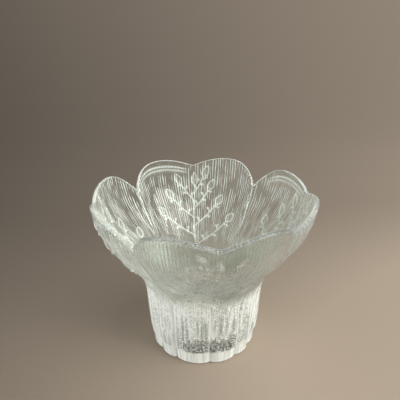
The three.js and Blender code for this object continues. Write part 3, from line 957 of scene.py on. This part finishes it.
def metal_material(name, colour, roughness, line_depth):
    """Bare sheet metal with faint clouding and the fine lines of its drawing or stamping."""
    material, tree, shader = new_material(name)
    clouds = noise_node(tree, object_place(tree), scale=260.0)
    lines = noise_node(tree, upright_place(tree, cells=240, length=6), detail=3.0)
    feed(tree, shader, {
        "Base Color": (*colour, 1),
        "Metallic": 1.0,
        "Roughness": map_node(tree, clouds, NOISE_MIDDLE, roughness),
        "Normal": bump_node(tree, lines, line_depth, strength=0.4),
    })
    return material


def wax_material():
    """Paraffin wax, faintly mottled where it set."""
    material, tree, shader = new_material("paraffin_wax")
    mottle = noise_node(tree, object_place(tree), scale=320.0, detail=4.0, roughness=0.6)
    feed(tree, shader, {
        "Base Color": ramp_node(tree, mottle, WAX_DARK, WAX_PALE, NOISE_MIDDLE),
        "Subsurface Weight": 0.3,
        "Subsurface Radius": (0.004, 0.003, 0.002),
        "Subsurface Scale": 1.0,
        "Roughness": map_node(tree, mottle, NOISE_MIDDLE, WAX_ROUGHNESS),
        "Normal": bump_node(tree, mottle, distance=0.12, strength=0.5),
    })
    return material


def cotton_material():
    """Waxed cotton yarn with fine fibres along it."""
    material, tree, shader = new_material("cotton_braid")
    place = vector_node(tree, "MULTIPLY", object_place(tree), (1, 1, 0.25))
    fibres = noise_node(tree, place, scale=9000.0)
    feed(tree, shader, {
        "Base Color": ramp_node(tree, fibres, COTTON_DARK, COTTON_PALE),
        "Roughness": map_node(tree, fibres, NOISE_MIDDLE, COTTON_ROUGHNESS),
        "Normal": bump_node(tree, fibres, distance=0.1, strength=0.6),
    })
    return material


def build_glass():
    rings = glass_rings()
    ends = (0, 0, RECESS_DEPTH * MM), (0, 0, FLOOR_THICKNESS * MM)
    vertices, faces = skin([ring for ring, _ in rings], *ends)
    glass = glass_material()
    obj = piece("glass_flower", vertices, faces, "holder", "glass_holder", glass)
    surface = [np.broadcast_to(ring_surface, (len(ring), len(SURFACE))) for ring, ring_surface in rings]
    surface = np.concatenate([*surface, [UNDERSIDE_SURFACE, CLEAR_SURFACE]])
    for column, name in enumerate(SURFACE):
        attribute = obj.data.attributes.new(name, "FLOAT", "POINT")
        attribute.data.foreach_set("value", surface[:, column].astype(np.float32))


def lathe_rings(profile, columns, wave=None):
    """Rings for a turned shape from (radius, height) points, in mm over the tealight's foot."""
    angle = np.arange(columns) * 2 * math.pi / columns
    rings = []
    for k, (radius, height) in enumerate(profile):
        wavy = radius if wave is None else radius + wave[k] * np.cos(CUP_FLUTES * angle)
        rings.append(around(wavy, height + FLOOR_THICKNESS, angle))
    return rings


# Sizes that the tealight's pieces share
CUP_FLOOR = DIMPLE_DEPTH + CUP_WALL
WAX_TOP = CUP_FLOOR + WAX_HEIGHT
BORE_RADIUS = WICK_RADIUS + CLEARANCE
COLLAR_RADIUS = BORE_RADIUS + COLLAR_WALL


def build_cup():
    """Aluminium cup with a fluted side and a rolled rim."""
    foot = CUP_RADIUS - CUP_DRAFT
    roll_foot = CUP_HEIGHT - 2 * CUP_ROLL
    inner_foot = foot - CUP_WALL - CUP_EDGE
    profile, wave = [], []

    def run(points, depth=0.0):
        profile.extend(points)
        wave.extend([depth] * len(points) if np.isscalar(depth) else depth)

    turns = np.linspace(0, math.pi / 2, CUP_EDGE_POINTS)
    run([(DIMPLE_RADIUS - DIMPLE_DEPTH, DIMPLE_DEPTH), (DIMPLE_RADIUS, 0)])
    run([(foot - CUP_EDGE + CUP_EDGE * math.sin(t), CUP_EDGE * (1 - math.cos(t))) for t in turns])
    side = np.linspace(0, 1, CUP_SIDE_ROWS + 1)[1:]
    depth = -CUP_FLUTE_DEPTH / 2 * np.sin(math.pi * side) ** CUP_FLUTE_SHARPNESS
    heights = CUP_EDGE + (roll_foot - CUP_EDGE) * side
    radii = foot + CUP_DRAFT * side
    run(list(zip(radii + depth, heights)), depth)
    middle = CUP_HEIGHT - CUP_ROLL
    rolls = np.linspace(-math.pi / 2, math.pi * CUP_ROLL_TURN, CUP_ROLL_POINTS)
    run([(CUP_RADIUS + CUP_ROLL * math.cos(t), middle + CUP_ROLL * math.sin(t)) for t in rolls])
    run(list(zip(radii[::-1] + depth[::-1] - CUP_WALL, heights[::-1])), depth[::-1])
    run([(inner_foot + CUP_EDGE * math.cos(t), CUP_FLOOR + CUP_EDGE * (1 - math.sin(t))) for t in turns])
    low, high = DIMPLE_DEPTH + FLOOR_THICKNESS, CUP_FLOOR + FLOOR_THICKNESS
    vertices, faces = skin(lathe_rings(profile, CUP_COLUMNS, wave), (0, 0, low * MM), (0, 0, high * MM))
    metal = metal_material("aluminium_foil", ALUMINIUM, ALUMINIUM_ROUGHNESS, ALUMINIUM_LINES)
    piece("fluted_cup", vertices, faces, "tealight", "tealight_cup", metal)


def build_wax():
    """Cast wax that climbs a little at the cup's wall and at the wick."""
    inside = CUP_RADIUS - CUP_WALL - CUP_FLUTE_DEPTH - CLEARANCE
    foot = inside - CUP_DRAFT
    profile = [
        (BORE_RADIUS, CUP_FLOOR + COLLAR_HEIGHT + CLEARANCE),
        (COLLAR_RADIUS + CLEARANCE, CUP_FLOOR + COLLAR_HEIGHT + CLEARANCE),
        (COLLAR_RADIUS + CLEARANCE, CUP_FLOOR + SUSTAINER_THICKNESS + CLEARANCE),
        (SUSTAINER_RADIUS + CLEARANCE, CUP_FLOOR + SUSTAINER_THICKNESS + CLEARANCE),
        (SUSTAINER_RADIUS + CLEARANCE, CUP_FLOOR),
        (foot - CUP_EDGE, CUP_FLOOR),
        (foot, CUP_FLOOR + CUP_EDGE),
    ]
    first_top_ring = len(profile)
    shares = np.linspace(0, 1, WAX_ROWS)
    for share in shares:
        radius = inside + (WICK_RADIUS - inside) * share
        climb = math.exp(-(inside - radius) / WAX_CLIMB)
        climb += WICK_CLIMB_SHARE * math.exp(-(radius - WICK_RADIUS) / WICK_CLIMB)
        profile.append((radius, WAX_TOP - WAX_MENISCUS * (1 - climb)))
    profile.append((WICK_RADIUS, WAX_TOP - WICK_HOLE_DEPTH))
    rings = lathe_rings(profile, WAX_COLUMNS)
    rng = np.random.default_rng(SEED)
    angle = np.arange(WAX_COLUMNS) * 2 * math.pi / WAX_COLUMNS
    for ring, share in zip(rings[first_top_ring:], shares):
        swell = ring_wave(rng, angle, WAX_SWELL_CELLS) - 0.5
        ring[:, 2] += WAX_SWELL * MM * swell * math.sin(math.pi * share)
    vertices, faces = skin(rings, closed=True)
    piece("wax_fill", vertices, faces, "tealight", "wax", wax_material())


def wick_spine():
    """Points up the wick's middle as (sideways, height), their directions, and the lengths up to them."""
    bend = WAX_TOP + WICK_ABOVE_WAX / 3
    lean = ((0.0, bend), (0.0, bend + WICK_ABOVE_WAX / 3), (WICK_LEAN, WAX_TOP + WICK_ABOVE_WAX))
    straight = np.linspace(CUP_FLOOR, bend, WICK_LOWER_POINTS)[:-1]
    upper, upper_along = bezier(lean, np.linspace(0, 1, WICK_UPPER_POINTS))
    spine = np.concatenate([np.stack([np.zeros_like(straight), straight], -1), upper])
    along = np.concatenate([np.tile([0.0, 1.0], (len(straight), 1)), upper_along])
    return spine, along, lengths_along(spine)


def build_wick():
    """Three twisted strands that run up through the wax and lean over at the tip."""
    strand_radius = WICK_RADIUS * STRAND_SHARE
    offset = WICK_RADIUS - strand_radius
    sides = np.arange(STRAND_SIDES) * 2 * math.pi / STRAND_SIDES
    aside = np.array([0.0, 1.0, 0.0])
    spine = list(zip(*wick_spine()))
    vertices, faces = np.zeros((0, 3)), []
    for strand in range(WICK_STRANDS):
        rings, centres = [], []
        for (x, z), (dx, dz), length in spine:
            turn = 2 * math.pi * (length / WICK_TURN_LENGTH + strand / WICK_STRANDS)
            across = np.array([dz, 0.0, -dx])
            centre = np.array([x, 0.0, z + FLOOR_THICKNESS])
            centre = centre + offset * (math.cos(turn) * across + math.sin(turn) * aside)
            ring = np.cos(sides)[:, None] * across + np.sin(sides)[:, None] * aside
            rings.append((centre + strand_radius * ring) * MM)
            centres.append(centre * MM)
        points, strand_faces = skin(rings, centres[0], centres[-1])
        faces += [[corner + len(vertices) for corner in face] for face in strand_faces]
        vertices = np.vstack([vertices, points])
    piece("twisted_wick", vertices, faces, "tealight", "wick", cotton_material())


def dress_sustainer():
    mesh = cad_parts["wick_sustainer"].data
    mesh.materials.clear()
    mesh.materials.append(metal_material("tinplate", TINPLATE, TINPLATE_ROUGHNESS, TINPLATE_LINES))


def sweep_material():
    """Matt greige cloth with painted light, paler towards the front and the right where it is lit, darker
    towards the back and the left.
    """
    material, tree, shader = new_material("sweep_cloth")
    x, y, _ = split_node(tree, object_place(tree))
    away = math_node(tree, "MAXIMUM", math_node(tree, "ADD", y, CLOTH_VIEWPOINT), CLOTH_NEAREST)
    aside = math_node(tree, "DIVIDE", x, away)
    aside = math_node(tree, "MULTIPLY", aside, map_node(tree, y, CLOTH_ASIDE_START))
    # painted light: the cloth darkens towards the back and the left, as the lamps' light falls off
    painted_light = map_node(tree, y, CLOTH_DEPTH, CLOTH_DEPTH_PAINTED_LIGHT, "SMOOTHSTEP")
    painted_light = math_node(tree, "MULTIPLY", painted_light, map_node(tree, aside, CLOTH_ASIDE, CLOTH_ASIDE_PAINTED_LIGHT))
    colour = ramp_node(tree, map_node(tree, painted_light, CLOTH_SPAN), CLOTH_SHADED, CLOTH_LIT)
    feed(tree, shader, {"Base Color": colour, "Roughness": CLOTH_ROUGHNESS})
    return material


def build_stage():
    """A floor that curves up into a backdrop."""
    profile = [(STAGE_FRONT, 0.0)]
    for turn in np.linspace(0, math.pi / 2, STAGE_CURVE_POINTS):
        profile.append((STAGE_BACK + STAGE_CURVE * math.sin(turn), STAGE_CURVE * (1 - math.cos(turn))))
    profile.append((STAGE_BACK + STAGE_CURVE, STAGE_TOP))
    vertices = [(x, y, z) for y, z in profile for x in (-STAGE_HALF_WIDTH, STAGE_HALF_WIDTH)]
    faces = [(2 * i, 2 * i + 1, 2 * i + 3, 2 * i + 2) for i in range(len(profile) - 1)]
    mesh = bpy.data.meshes.new("sweep")
    mesh.from_pydata(vertices, [], faces)
    mesh.polygons.foreach_set("use_smooth", np.ones(len(faces), bool))
    mesh.materials.append(sweep_material())
    obj = bpy.data.objects.new("sweep", mesh)
    bpy.context.scene.collection.objects.link(obj)


def add_lamp(name, place, size, power, colour, seen):
    """A rectangular lamp. One that isn't seen lights matt surfaces alone, and no glass mirrors it."""
    light = bpy.data.lights.new(name, "AREA")
    light.shape = "RECTANGLE"
    light.size, light.size_y = size
    light.energy = power
    light.color = colour
    obj = bpy.data.objects.new(name, light)
    obj.location = place
    direction = np.array(LAMP_TARGET) - np.array(place)
    flat = math.hypot(direction[0], direction[1])
    heading = math.atan2(direction[1], direction[0]) - math.pi / 2
    obj.rotation_euler = (math.atan2(flat, -direction[2]), 0, heading)
    obj.visible_camera = obj.visible_glossy = obj.visible_transmission = seen
    bpy.context.scene.collection.objects.link(obj)


def world_light(tree):
    """How bright the world is: glowing sides near the horizon, and a weaker front and top."""
    way = add_node(tree, "TexCoord", {}, {}).outputs["Generated"]
    side, _, top = split_node(tree, way)
    sideways = math_node(tree, "POWER", math_node(tree, "ABSOLUTE", side), SIDE_GLOW_FOCUS)
    sideways = math_node(tree, "MULTIPLY", sideways, map_node(tree, top, (0, SIDE_GLOW_TOP), (1, 0)))
    from_sides = math_node(tree, "MULTIPLY", sideways, map_node(tree, side, (-1, 1), SIDE_GLOW))
    front = add_node(tree, "VectorMath", {"operation": "DOT_PRODUCT"}, {0: way, 1: FRONT_WAY})
    from_front = map_node(tree, front.outputs["Value"], FRONT_SPAN, (0, FRONT_GLOW))
    from_top = map_node(tree, top, (0, 1), TOP_GLOW)
    return math_node(tree, "ADD", math_node(tree, "ADD", from_sides, from_front), from_top)


def build_world():
    """Soft light from all round, which shows as a plain background where it is seen or mirrored."""
    world = bpy.data.worlds.new("studio")
    world.use_nodes = True
    tree = world.node_tree
    light = world_light(tree)
    rays = add_node(tree, "LightPath", {}, {}).outputs
    seen = math_node(tree, "MAXIMUM", rays["Is Camera Ray"], rays["Is Transmission Ray"])
    seen = math_node(tree, "MAXIMUM", seen, rays["Is Glossy Ray"])
    plain = math_node(tree, "MINIMUM", light, BACKGROUND_GLOW)
    strength = mix_node(tree, seen, light, plain)
    feed(tree, tree.nodes["Background"], {"Color": (*SKY_COLOUR, 1), "Strength": strength})
    bpy.context.scene.world = world


def build_lights():
    for name, lamp in LAMPS.items():
        add_lamp(name, **lamp)
    build_world()
    cycles = bpy.context.scene.cycles
    cycles.max_bounces = LIGHT_BOUNCES
    cycles.glossy_bounces = GLASS_BOUNCES
    cycles.transmission_bounces = GLASS_BOUNCES
    cycles.transparent_max_bounces = GLASS_BOUNCES


def build_camera():
    camera = bpy.data.cameras.new("photo_camera")
    camera.sensor_width = SENSOR_WIDTH
    camera.lens = FOCAL_PIXELS / PHOTO_SIDE * SENSOR_WIDTH
    camera.clip_start = CLIP_START
    obj = bpy.data.objects.new("photo_camera", camera)
    turn = math.radians(CAMERA_TURN)
    x, y = CAMERA_SIDE, -CAMERA_DISTANCE
    obj.location = (
        (x * math.cos(turn) + y * math.sin(turn)) * MM,
        (y * math.cos(turn) - x * math.sin(turn)) * MM,
        CAMERA_HEIGHT * MM,
    )
    obj.rotation_euler = (math.radians(90 - CAMERA_PITCH), 0, -turn)
    bpy.context.scene.collection.objects.link(obj)
    bpy.context.scene.camera = obj


build_camera()
build_stage()
build_lights()
build_glass()
build_cup()
build_wax()
build_wick()
dress_sustainer()

bpy.context.scene.view_settings.view_transform = "Standard"
